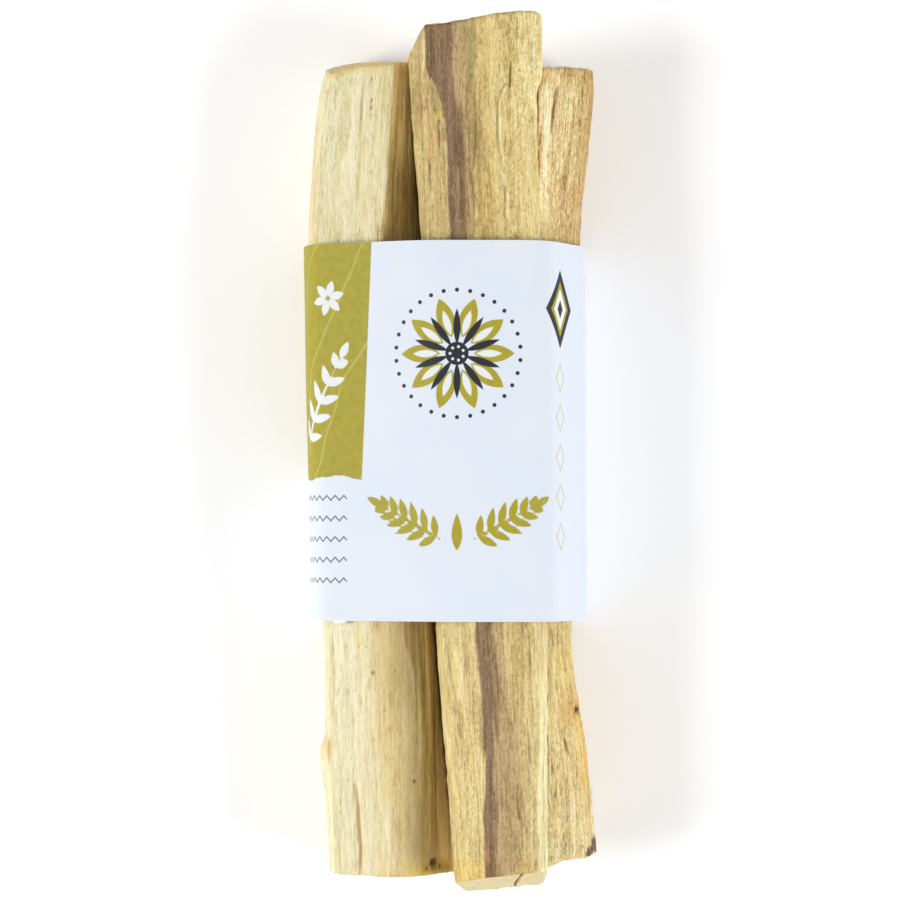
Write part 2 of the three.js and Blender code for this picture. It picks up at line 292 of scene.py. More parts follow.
class StickSurface:
    """The long surface of one stick as a grid: rows along it and columns round it."""

    def __init__(self, edges, waves, seed, rounding, middle_tone):
        corners = np.stack([edge_curve(edge, STICK_ROWS) for edge in edges.values()])
        following = np.roll(corners, -1, axis=0)
        middle = STICK_ROWS // 2
        widths = np.linalg.norm(following[:, middle] - corners[:, middle], axis=-1)
        counts = np.maximum(6, np.round(widths / COLUMN_STEP)).astype(int)
        sides, around, fade, to_corner = [], [], [], []
        travelled = np.zeros((STICK_ROWS, 1))
        for start, end, count in zip(corners, following, counts):
            share = (np.arange(count) / count)[None, :]
            length = np.linalg.norm(end - start, axis=-1)[:, None]
            sides.append(start[:, None] + share[..., None] * (end - start)[:, None])
            around.append(travelled + share * length)
            fade.append(np.sin(math.pi * share) + 0 * length)
            to_corner.append(np.minimum(share, 1 - share) * length)
            travelled = travelled + length
        self.around = np.concatenate(around, axis=1)
        self.fade = np.concatenate(fade, axis=1)
        self.to_corner = np.concatenate(to_corner, axis=1)
        step = float(widths.sum() / counts.sum())
        self.points = round_off(np.concatenate(sides, axis=1), step, rounding)
        self.raised = np.zeros(self.around.shape)
        self.hollow_shade = np.zeros(self.around.shape)
        row_step = float(np.ptp(corners[0][:, 1])) / (STICK_ROWS - 1)
        self.grain = Grain(seed, self.around.shape, (row_step, step))
        self.up = rise(ring_normals(self.points)[..., 2], 0.05, 0.25)
        self.middle_tone = np.array(linear(*middle_tone))
        # The tint holds the wood's stains and also painted light and shade.
        self.tint_with_painted_light = np.ones((*self.around.shape, 3))
        self.flute(waves)

    @property
    def x(self):
        return self.points[..., 0]

    @property
    def y(self):
        return self.points[..., 1]

    def flute(self, waves):
        """The shallow flutes: sine waves round the stick that drift along it and fade out
        at the edges."""
        for height, width, drift, phase in waves:
            turns = self.around / width + drift * self.y / 100
            self.raised += height * np.sin(2 * math.pi * turns + phase) * self.fade

    def peaks(self, length, width, above=0.0, most=2.0):
        """The peaks of a random field of that length and width, above a level."""
        return np.clip(self.grain.field(length, width) - above, 0, most)

    def split(self, roughness):
        """The relief that splitting leaves: fibres of several widths, thin torn layers, and
        small losses along the edges."""
        grain = self.grain
        for height, length, width in ((0.03, 1.0, 0.3), (0.026, 5, 0.33), (0.018, 12, 0.7)):
            self.raised += height * roughness * grain.field(length, width)
        self.raised += 0.018 * roughness * grain.layers(8, 0.7, 2.5)
        self.raised += 0.035 * roughness * grain.layers(30, 2.0, 3.5) * self.fade
        self.raised -= 0.15 * roughness * self.peaks(2.6, 0.7, 1.5, 1.2)
        near = np.exp(-((self.to_corner / 0.42) ** 2))
        self.raised -= 0.1 * roughness * self.peaks(1.6, 2.0, 0.6, 2.2) * near
        from_end = np.minimum(self.y - self.y[:1], self.y[-1:] - self.y)
        self.raised *= 1.0 - 0.6 * rise(from_end, 0.8, 0.1)
        # The relief against its blurred surroundings, which the wood's colour uses as painted shade in
        # hollows and painted light on crests.
        local = blurred(self.raised, grain.spacing, (2.4, 0.9))
        self.relief = np.clip((self.raised - local) / (0.06 * roughness), -2.0, 2.0)

    def lengthen(self, shifts, side=1):
        """Moves one end outward along the grain, by shifts listed as (x, shift) across it.
        The side is 1 for the upper end and -1 for the lower one."""
        shifts = np.array(shifts)
        last = self.x[-1 if side > 0 else 0]
        shift = np.interp(last, shifts[:, 0], shifts[:, 1])
        self.points[..., 1] += side * shift * rise(side * self.y, 30, 47)

    def places(self):
        """Each point's place in plan, how far it is from the upper end, and masks of the
        parts above and below the band."""
        y = self.y
        return self.x, y, y[-1:] - y, rise(y, 0, 5), rise(-y, 0, 5)

    def right_of(self, line, ragged=0.1):
        """How far on the right of a line in plan each point lies, with a ragged fibrous
        border. The line is (x, y) points from its lower end up."""
        line = np.array(line)
        border = np.interp(self.y, line[:, 1], line[:, 0])
        fray = 0.8 * self.grain.field(6, 0.3) + 0.6 * self.grain.field(1.6, 0.5)
        return self.x - border + ragged * fray

    def stroke(self, path, width):
        """A mask along a broken line in plan: Gaussian across it, and narrowing to nothing
        at both ends."""
        low, high = sorted((path[0][1], path[-1][1]))
        middle, half = (low + high) / 2, (high - low) / 2 + 0.3
        taper = np.sqrt(np.clip(1 - ((self.y - middle) / half) ** 2, 0, 1))
        away = distance_to_path(self.x, self.y, path) / (width * (0.35 + 0.65 * taper))
        return np.exp(-(away**2)) * taper * self.up

    def spot(self, x, y, across, along):
        """A mask of one soft oval spot."""
        away = ((self.x - x) / across) ** 2 + ((self.y - y) / along) ** 2
        return np.exp(-away) * self.up

    def stain(self, mask, red, green, blue):
        """Turns the stick's middle tone into a display colour as far as the mask says; the colour is a stain
        of the wood, painted light or painted shade.
        """
        goal = np.array(linear(red, green, blue)) / self.middle_tone
        self.tint_with_painted_light += np.clip(mask, 0, 1)[..., None] * (goal - self.tint_with_painted_light)

    def strokes(self, *rows):
        """Stains along broken lines: strength, width, colour and path of each."""
        for strength, width, colour, path in rows:
            self.stain(strength * self.stroke(path, width), *colour)

    def blots(self, *rows):
        """Oval stains: strength, colour, place in plan, and widths across and along."""
        for strength, colour, *oval in rows:
            self.stain(strength * self.spot(*oval), *colour)

    def slits(self, *rows):
        """Cracks along broken lines, or raised fibres where the depth is below 0: width,
        depth, how dark the painted shade in the crack is, and path of each."""
        for width, depth, dark, path in rows:
            cut = self.stroke(path, width)
            self.raised -= depth * cut
            self.hollow_shade = np.maximum(self.hollow_shade, dark * cut)

    def pit(self, x, y, radius, depth, dark=1.0, rim=0.0):
        """A knot or a pinhole: a bell-shaped pit, longer along the grain, with a raised
        ring of the given height round it, and painted shade in the pit as dark as given."""
        away = np.hypot(self.x - x, (self.y - y) / 1.25) / radius
        bowl = np.exp(-(away**2)) * self.up
        ring = np.exp(-(((away - 1.7) / 0.5) ** 2)) * self.up
        self.raised += rim * ring - depth * bowl
        self.hollow_shade = np.maximum(self.hollow_shade, dark * rise(bowl, 0.15, 0.75))

    def finished(self):
        """The points moved out by the relief."""
        return self.points + self.raised[..., None] * ring_normals(self.points)


def ripple(x, z, seed, shortest, longest, count=36):
    """Rough ground without a grid: a sum of sine waves in random directions, whose heights
    follow their lengths, with a spread of about 1."""
    random = np.random.default_rng(seed)
    lengths = np.geomspace(shortest, longest, count)
    turns = random.uniform(0, 2 * math.pi, count)
    phases = random.uniform(0, 2 * math.pi, count)
    heights = lengths / math.sqrt((lengths**2).sum() / 2)
    total = np.zeros(np.shape(x))
    for length, turn, phase, height in zip(lengths, turns, phases, heights):
        way = x * math.cos(turn) + z * math.sin(turn)
        total += height * np.sin(2 * math.pi * way / length + phase)
    return total


def sawn_end(ring, outward, seed, roughness, saw_turn, shares=CAP_SHARES):
    """A sawn end as rings that shrink from the stick's last ring to its middle. The arris
    is a smooth step, and the face has fine saw marks and torn pores."""
    middle = ring.mean(axis=0)
    shares = np.array(shares)[:, None, None]
    rings = middle + shares * (ring - middle)
    x, z = rings[..., 0], rings[..., 2]
    inset = np.linalg.norm(ring - middle, axis=-1)[None] * (1 - shares[..., 0])
    across_marks = x * math.cos(saw_turn) + z * math.sin(saw_turn)
    marks = np.sin(2 * math.pi * across_marks / SAW_PITCH)
    face = roughness * (0.07 * ripple(x, z, seed, 0.35, 3.0) + 0.02 * marks)
    rings[..., 1] += outward * (face - 0.06) * rise(inset, 0.0, 0.25)
    rings[..., 1] += outward * ARRIS * rise(inset, 0.0, 0.2)
    return rings


def grid_faces(rows, columns):
    """The quads of a grid of rows whose columns close on themselves, as four corners each."""
    row = np.arange(rows - 1)[:, None] * columns
    column = np.arange(columns)[None, :]
    following = (column + 1) % columns
    quads = np.stack(
        [row + column, row + following, row + columns + following, row + columns + column], -1
    )
    return quads.reshape(-1, 4)


def fan_faces(first, columns, middle, outward):
    """The triangles from a ring to its middle point, facing up the stick or down it."""
    column = first + np.arange(columns)
    following = first + (np.arange(columns) + 1) % columns
    centre = np.full(columns, middle)
    order = (centre, column, following) if outward > 0 else (centre, following, column)
    return np.stack(order, -1)


def make_mesh(name, points, quads, triangles, attributes):
    """A smooth mesh object from arrays. Attributes are numbers or vectors at its points."""
    mesh = bpy.data.meshes.new(name)
    loops = np.concatenate([quads.ravel(), triangles.ravel()]).astype(np.int32)
    sizes = np.concatenate([np.full(len(quads), 4), np.full(len(triangles), 3)])
    starts = np.concatenate([[0], np.cumsum(sizes)[:-1]]).astype(np.int32)
    mesh.vertices.add(len(points))
    mesh.vertices.foreach_set("co", ((points + CENTRE_SHIFT) * MM).astype(np.float32).ravel())
    mesh.loops.add(len(loops))
    mesh.loops.foreach_set("vertex_index", loops)
    mesh.polygons.add(len(sizes))
    mesh.polygons.foreach_set("loop_start", starts)
    mesh.update(calc_edges=True)
    mesh.validate()
    mesh.polygons.foreach_set("use_smooth", np.ones(len(mesh.polygons), bool))
    for key, values in attributes.items():
        kind, field = ("FLOAT_VECTOR", "vector") if values.ndim == 2 else ("FLOAT", "value")
        data = mesh.attributes.new(key, kind, "POINT").data
        data.foreach_set(field, values.astype(np.float32).ravel())
    piece = bpy.data.objects.new(name, mesh)
    bpy.context.scene.collection.objects.link(piece)
    return piece


def closed_surface(name, rings, attributes):
    """A closed mesh from rings of points: quads between neighbouring rings, and a fan to the
    middle of the first ring and of the last one."""
    rows, columns = rings.shape[:2]
    points = np.concatenate([rings.reshape(-1, 3), [rings[0].mean(0), rings[-1].mean(0)]])
    first, last = rows * columns, rows * columns + 1
    fans = np.concatenate(
        [
            fan_faces(0, columns, first, -1),
            fan_faces((rows - 1) * columns, columns, last, 1),
        ]
    )
    whole = {}
    for key, values in attributes.items():
        flat = values.reshape(rows * columns, *values.shape[2:])
        ends = np.stack([values[0].mean(0), values[-1].mean(0)])
        whole[key] = np.concatenate([flat, ends])
    return make_mesh(name, points, grid_faces(rows, columns), fans, whole)


def stick_piece(name, solid, surface, seed, roughness, material, crack=None):
    """The finished stick: its long surface, both sawn ends, and the numbers that its
    material reads. The grain is the place in the wood: across from the stick's middle line
    in x and z, and along it in y. A crack is a line in x and z across the lower end."""
    points = surface.finished()
    lower_shares = CAP_SHARES if crack is None else CRACKED_SHARES
    lower = sawn_end(points[0], -1, seed, roughness, SAW_TURNS[0], lower_shares)
    upper = sawn_end(points[-1], 1, seed + 1, roughness, SAW_TURNS[1])
    added = ((len(lower), len(upper)), (0, 0))

    def cap(row, shares):
        """A row's values over a sawn end: they fade to their mean in from its rim."""
        near = rise(np.array(shares), 0.86, 0.98).reshape(-1, *(1,) * row.ndim)
        return row.mean(axis=0) + near * (row - row.mean(axis=0))

    def whole(values):
        """The values of the long surface with those of both sawn ends."""
        ends = cap(values[0], lower_shares)[::-1], cap(values[-1], CAP_SHARES)
        return np.concatenate([ends[0], values, ends[1]])

    hollow_shade = whole(surface.hollow_shade)
    if crack is not None:
        distance = distance_to_path(lower[..., 0], lower[..., 2], crack)
        cut = np.exp(-((distance / CRACK_WIDTH) ** 2))
        lower[..., 1] += CRACK_DEPTH * cut
        # Painted shade in the crack.
        hollow_shade[: len(lower)] = np.maximum(hollow_shade[: len(lower)], cut[::-1])
    rings = np.concatenate([lower[::-1], points, upper])
    middles = np.pad(points.mean(axis=1) * (1, 0, 1), added, "edge")
    attributes = {
        "grain": rings - middles[:, None],
        "end": np.pad(np.zeros(points.shape[:2]), added, constant_values=1.0),
        "tint_with_painted_light": whole(surface.tint_with_painted_light),
        "grit": whole(surface.grit),
        "relief": whole(surface.relief),
        "hollow_shade": hollow_shade,
    }
    piece = closed_surface(name, rings, attributes)
    piece.data.materials.append(material)
    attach(piece, "root")
    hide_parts(solid)
    return piece


class Shader:
    """A material whose nodes are added one by one. A number or colour is set on the socket,
    and the output of another node is joined to it."""

    def __init__(self, name, roughness, specular):
        self.material = bpy.data.materials.new(name)
        self.material.use_nodes = True
        self.tree = self.material.node_tree
        self.surface = self.tree.nodes["Principled BSDF"]
        self.set("Specular IOR Level", specular)
        self.set("Roughness", roughness)

    def set(self, socket, value):
        """Sets a socket of the surface."""
        self.put(self.surface.inputs[socket], value)

    def put(self, socket, value):
        if isinstance(value, bpy.types.NodeSocket):
            self.tree.links.new(value, socket)
        elif isinstance(value, tuple) and socket.type == "RGBA":
            socket.default_value = (*value[:3], 1.0)
        else:
            socket.default_value = value

    def add(self, kind, inputs, output=0, **settings):
        """Adds a node with its settings, puts values on its sockets, and gives an output."""
        node = self.tree.nodes.new("ShaderNode" + kind)
        for name, value in settings.items():
            setattr(node, name, value)
        for socket, value in inputs.items():
            self.put(node.inputs[socket], value)
        return node.outputs[output]

    def attribute(self, name, output="Fac"):
        return self.add("Attribute", {}, output, attribute_name=name)

    def math(self, operation, first, second=0.0, clamp=False):
        return self.add("Math", {0: first, 1: second}, operation=operation, use_clamp=clamp)

    def plus(self, first, second):
        return self.math("ADD", first, second)

    def minus(self, first, second):
        return self.math("SUBTRACT", first, second)

    def times(self, first, second, clamp=False):
        return self.math("MULTIPLY", first, second, clamp)

    def vector(self, operation, first, second=(0.0, 0.0, 0.0), output=0):
        return self.add("VectorMath", {0: first, 1: second}, output, operation=operation)

    def noise(self, place, scales, detail=2.0, output="Fac", shift=None):
        """Noise at a place that is scaled on each axis, and moved by a shift if one is given."""
        place = self.vector("MULTIPLY", place, scales)
        if shift is not None:
            place = self.vector("ADD", place, shift)
        return self.add("TexNoise", {"Vector": place, "Scale": 1.0, "Detail": detail}, output)

    def noise_along(self, distance):
        """Noise of one number, such as a distance."""
        inputs = {"W": distance, "Scale": 1.0, "Detail": 2.0}
        return self.add("TexNoise", inputs, "Fac", noise_dimensions="1D")

    def step(self, value, low, high):
        """0 below low and 1 above high, smooth between them. Where high is the lower of the
        two, it falls instead."""
        inputs = {"Value": value, "From Min": min(low, high), "From Max": max(low, high)}
        inputs.update({"To Min": float(low > high), "To Max": float(low < high)})
        return self.add("MapRange", inputs, interpolation_type="SMOOTHSTEP")

    def ramp(self, value, stops):
        """A colour picked by a value from stops listed as (place, colour)."""
        node = self.tree.nodes.new("ShaderNodeValToRGB")
        elements = node.color_ramp.elements
        while len(elements) < len(stops):
            elements.new(0.5)
        for element, (place, colour) in zip(elements, stops):
            element.position = place
            element.color = (*colour, 1.0)
        self.put(node.inputs[0], value)
        return node.outputs[0]

    def mix(self, share, first, second, blend="MIX"):
        inputs = {0: share, 6: first, 7: second}
        return self.add("Mix", inputs, 2, data_type="RGBA", blend_type=blend)

    def bump(self, height, distance):
        inputs = {"Height": height, "Distance": distance, "Strength": 1.0}
        self.set("Normal", self.add("Bump", inputs))


def wood(name, deep, base, pale, pith, end_tint=0.0):
    """Split wood. Its tone is a sum of noises stretched along the grain, of growth rings
    round the pith, an axis beside the stick at that x and z, and of the surface's own
    relief, which paints shade in its hollows and light on its crests, and it picks a colour
    between deep and pale. The tint, which holds stains and painted light and shade,
    multiplies that, and cracks and pits get painted shade. Grit sets how strong the short
    grains, the dark specks and the pale torn fibres are."""
    shader = Shader(name, 0.62, 0.25)
    plus, minus, times, mix = shader.plus, shader.minus, shader.times, shader.mix
    grain = shader.attribute("grain", "Vector")
    for scales, sway in (((0.25, 0.03, 0.25), 0.5), ((0.6, 0.16, 0.6), 0.4)):
        bend = shader.noise(grain, scales, 2.0, "Color")
        bend = shader.vector("SUBTRACT", bend, (0.5, 0.5, 0.5))
        bend = shader.vector("MULTIPLY", bend, (sway, 0.0, sway))
        grain = shader.vector("ADD", grain, bend)
    grit, tint_with_painted_light = shader.attribute("grit"), shader.attribute("tint_with_painted_light", "Color")

    def streaks(width, length, detail=2.0, shift=0.0):
        scales = (1 / width, 1 / length, 1 / width)
        return shader.noise(grain, scales, detail, shift=(shift, 0.0, shift))

    def centred(value, weight):
        return times(minus(value, 0.5), weight)

    fine, medium = streaks(0.22, 3.0), streaks(0.7, 9.0)
    away = shader.vector("SUBTRACT", grain, (pith[0], 0.0, pith[1]))
    away = shader.vector("MULTIPLY", away, (1.0, 0.012, 1.0))
    from_pith = shader.vector("LENGTH", away, output="Value")
    rings = shader.noise_along(times(from_pith, 1.5))
    flecks = centred(streaks(0.15, 0.4, 1.0, 43.0), 0.8)
    gritty = times(plus(centred(streaks(0.3, 0.9, 3.0), 0.7), flecks), grit)
    tone = plus(0.5, gritty)
    for part, weight in (
        (fine, 0.5),
        (streaks(0.17, 9.0, 1.0, 31.0), 0.45),
        (medium, 0.3),
        (streaks(2.8, 45.0, 1.0), 0.4),
        (rings, 0.35),
    ):
        tone = plus(tone, centred(part, weight))
    # Painted shade in hollows and painted light on crests, from the relief.
    tone = plus(tone, times(shader.attribute("relief"), 0.035))
    colour = shader.ramp(tone, [(0.22, deep), (0.5, base), (0.74, pale)])
    colour = mix(1.0, colour, tint_with_painted_light, "MULTIPLY")

    specks = shader.step(streaks(0.26, 0.6, 2.0, 7.0), 0.6, 0.7)
    patches = shader.step(streaks(1.6, 7.0, 1.0, 3.0), 0.42, 0.6)
    specks = times(times(specks, patches), grit)
    dotted = mix(1.0, colour, linear(196, 176, 128), "MULTIPLY")
    colour = mix(times(specks, 0.5, True), colour, dotted)
    torn = times(shader.step(streaks(0.18, 0.9, 1.0, 19.0), 0.6, 0.7), grit)
    colour = mix(times(torn, 0.45, True), colour, mix(0.55, colour, pale))
    pores = shader.step(streaks(0.13, 1.1, 1.0), 0.64, 0.74)
    colour = mix(pores, colour, mix(0.27, colour, linear(168, 136, 88), "MULTIPLY"))

    dots = shader.step(shader.noise(grain, (5.0, 0.4, 5.0), 1.0), 0.6, 0.7)
    cut_face = mix(times(dots, 0.5), linear(226, 211, 166), linear(172, 146, 96))
    cut_face = mix(times(tone, 0.3), cut_face, base)
    cut_face = mix(end_tint, cut_face, mix(1.0, cut_face, tint_with_painted_light, "MULTIPLY"))
    colour = mix(shader.attribute("end"), colour, cut_face)
    # Painted shade in cracks and pits, as far as the attribute says.
    hollow_shaded = mix(1.0, colour, linear(124, 90, 50), "MULTIPLY")
    colour = mix(times(shader.attribute("hollow_shade"), 0.9), colour, hollow_shaded)
    shader.set("Base Color", colour)
    shader.set("Roughness", plus(times(fine, 0.3), 0.48))
    height = plus(plus(fine, times(gritty, 1.6)), medium)
    height = minus(minus(height, times(pores, 0.3)), times(specks, 0.2))
    shader.bump(height, 0.00013)
    return shader.material


def left_stick():
    """The pale stick on the left, whose right flank is golden brown, partly its own tone and partly painted
    shade and light.
    """
    stick = StickSurface(LEFT_EDGES, LEFT_WAVES, 11, 0.5, (240, 228, 182))
    stick.lengthen([(-14.6, -0.3), (-13.6, 0), (-12.2, 0.35), (-10.5, 0.6), (-5.5, 0.6), (-3, 0.3)])
    stick.split(0.68)
    x, y, from_end, upper, lower = stick.places()
    stain, peaks = stick.stain, stick.peaks
    streak = peaks(22, 0.45)
    stick.grit = 0.34 + 0.12 * rise(y, 20, 40) + 0.1 * stick.grain.layers(14, 1.6, 1.5)
    stain(rise(-x, 10.0, 12.5), 243, 235, 193)
    stain(0.25 * streak * upper, 228, 217, 156)
    stain(0.3 * peaks(30, 0.8), 252, 240, 205)

    # The flank above the band: a darker golden tone, partly its own and partly painted shade, and painted
    # light that makes up for the shade it lies in, most towards the upper end.
    flank = stick.right_of([(-7.0, -49.5), (-6.9, -20), (-8.15, 24.8), (-7.4, 32), (-6.65, 45)])
    flank = rise(flank, -0.06, 0.14) * upper
    stain(flank, 226, 199, 134)
    # Painted light that lifts the flank's shade, most towards the upper end.
    stain(flank * rise(y, 32, 41), 282, 262, 190)
    stain(0.9 * flank * rise(x, -7.1, -5.8) * rise(y, 31, 38), 345, 318, 240)
    stain(0.6 * flank * rise(y, 42.5, 44.8), 276, 232, 156)
    stain(0.35 * flank * streak, 206, 178, 114)
    stain(0.4 * flank * peaks(6, 0.3), 255, 236, 180)

    # Below the band: a tan strip, the flank beside it with painted shade and painted light over its golden
    # tone, and a painted shadow in the gap by the front stick.
    tan = stick.right_of([(-6.6, -50), (-7.6, -42), (-9.4, -33), (-9.4, -20)], 0.2)
    stain(0.8 * rise(tan, -0.3, 1.2) * lower, 229, 207, 145)
    # Painted shade, golden, where the surface rolls away towards the front stick.
    stain(0.85 * rise(x, -8.9, -6.3) * rise(y, -34, -26) * lower, 206, 184, 126)
    inner = stick.right_of([(-3.0, -50), (-3.7, -36), (-4.1, -27), (-5.7, -20)], 0.14)
    inner = rise(inner, -0.1, 0.3) * lower
    stain(inner, 236, 208, 138)
    gap = stick.right_of([(0.3, -50.3), (-2.35, -20.2), (-3.8, 24.6), (-4.6, 34), (-5.5, 45.4)], 0.02)
    # Painted shade on the flank, then painted light nearer the gap and where it is lit.
    stain(0.9 * inner * rise(y, -34, -25) * rise(-gap, 0.6, 1.4), 186, 157, 95)
    stain(0.85 * inner * rise(-gap, 1.4, 0.6), 312, 274, 192)
    lit = rise(-y, 27, 32) * rise(-y, 42, 37)
    stain(0.5 * inner * rise(-gap, 1.6, 0.4) * lit, 290, 256, 182)
    stain(0.5 * inner * streak, 194, 162, 96)
    stain(0.45 * inner * peaks(9, 0.28), 254, 236, 172)
    # Painted shadow in the gap by the front stick.
    shade = 0.85 * lower * rise(y, -50, -43) + 0.65 * upper * rise(y, 44, 34)
    stain(rise(gap, 0.1, 0.4) * shade, 128, 84, 46)

    # Cracks, raised fibres, pinholes, and the knot near the lower end with a dot on each side.
    fibre = [(-5.6, -21.3), (-4.4, -25.9), (-4.0, -28.9)]
    crack = [(-11.1, -38.8), (-10.7, -41.3), (-10.54, -44.9), (-10.4, -46.3), (-10.56, -49.8)]
    stick.slits(
        (0.14, -0.1, 0.0, fibre),
        (0.12, -0.1, 0.0, [(-3.1, -32.0), (-2.6, -37.0), (-2.3, -41.5)]),
        (0.2, 0.22, 0.4, crack),
        (0.13, 0.2, 0.35, [(-10.15, 43.5), (-10.3, 40.0), (-10.5, 36.7)]),
    )
    stick.strokes(
        (0.4, 0.16, (255, 240, 190), fibre),
        (0.8, 0.3, (222, 188, 118), crack),
        (0.6, 0.2, (240, 205, 150), [(-10.3, 39.0), (-10.7, 30.0)]),
        (0.5, 0.2, (206, 188, 124), [(-9.15, 43.6), (-9.25, 38.4)]),
    )
    for *place, size in ((-9.17, 43.4, 0.17), (-9.17, 40.9, 0.15), (-9.2, 40.15, 0.17), (-9.23, 39.4, 0.12)):
        stick.pit(*place, size, 0.14, 0.7)
    stick.pit(-8.98, -25.8, 0.16, 0.1, 1.0, 0.03)
    stick.pit(-4.1, -38.5, 0.2, 0.16, 0.8, 0.06)
    for *place, size in ((-1.86, -48.15, 0.42), (-2.76, -48.75, 0.17), (-1.08, -48.5, 0.17)):
        stick.pit(*place, size, size, 0.9, 0.1 * size)
        stick.blots((1.6, (120, 56, 30), *place, size, 1.2 * size))

    # Small stains, the tinged lower end, and the rims of the upper end and the outer side.
    stick.blots(
        (0.9, (240, 196, 120), -14.35, -34.4, 0.4, 1.3),
        (0.6, (206, 160, 112), -8.6, -20.3, 0.5, 0.9),
        (0.7, (222, 216, 146), -8.7, -22.5, 0.3, 2.2),
        (0.6, (236, 228, 140), -10.5, -21.9, 0.35, 1.5),
    )
    stick.strokes((0.7, 0.12, (176, 164, 92), [(-14.15, -33.6), (-14.1, -36.5)]))
    edge = rise(-y, 47.0, 49.2) * rise(x, -9.0, -3.0)
    stain(0.85 * edge * (1 + 0.3 * stick.grain.field(2, 0.8)), 236, 198, 100)
    stick.blots((0.6, (232, 204, 120), -7.8, -48.6, 0.35, 1.3))
    rim = rise(from_end, 0.75, 0.3) * rise(x, -14.8, -14.2) * rise(-x, 6.4, 6.9)
    stain(rim * upper, 238, 214, 144)
    stain(0.7 * rise(-x, 13.8, 15.0) * upper, 232, 221, 174)
    stain(0.3 * rise(-x, 15.2, 15.9) * upper, 236, 200, 142)

    tones = [paint(214, 195, 136), paint(240, 227, 180), paint(250, 241, 203)]
    material = wood("pale_wood", *tones, (14.0, -20.0), 0.7)
    piece = stick_piece("left_stick", "stick_left", stick, 12, 0.8, material)


